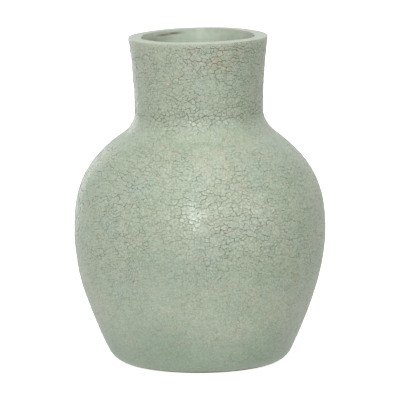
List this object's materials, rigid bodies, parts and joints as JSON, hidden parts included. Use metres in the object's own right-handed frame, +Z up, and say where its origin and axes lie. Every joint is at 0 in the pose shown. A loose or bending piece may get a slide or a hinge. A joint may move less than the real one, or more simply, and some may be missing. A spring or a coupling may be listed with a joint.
{
  "type": "vase",
  "caption": "Round-bellied pottery vase with a wide flared neck, a thick flat lip and a turned foot, in crackled sage-green glaze over clay.",
  "frame": {"origin": "centre of the foot's resting plane, on the body's axis", "axes": "+Z up along the body's axis, front towards -Y, neck leaning slightly to -X"},
  "size_m": [0.1154, 0.1154, 0.1505],
  "materials": {
    "clay": "bare fired stoneware, dry and slightly gritty, buff brown",
    "crackle_glaze": "satin sage-green glaze, mottled, with a network of dark cracks",
    "smooth_glaze": "smooth satin glaze, paler green, without cracks"
  },
  "bodies": {
    "root": {"clay_body": "clay", "clay_neck": "clay", "crackle_glaze_coat": "crackle_glaze", "smooth_glaze_lining": "smooth_glaze"}
  },
  "joints": []
}
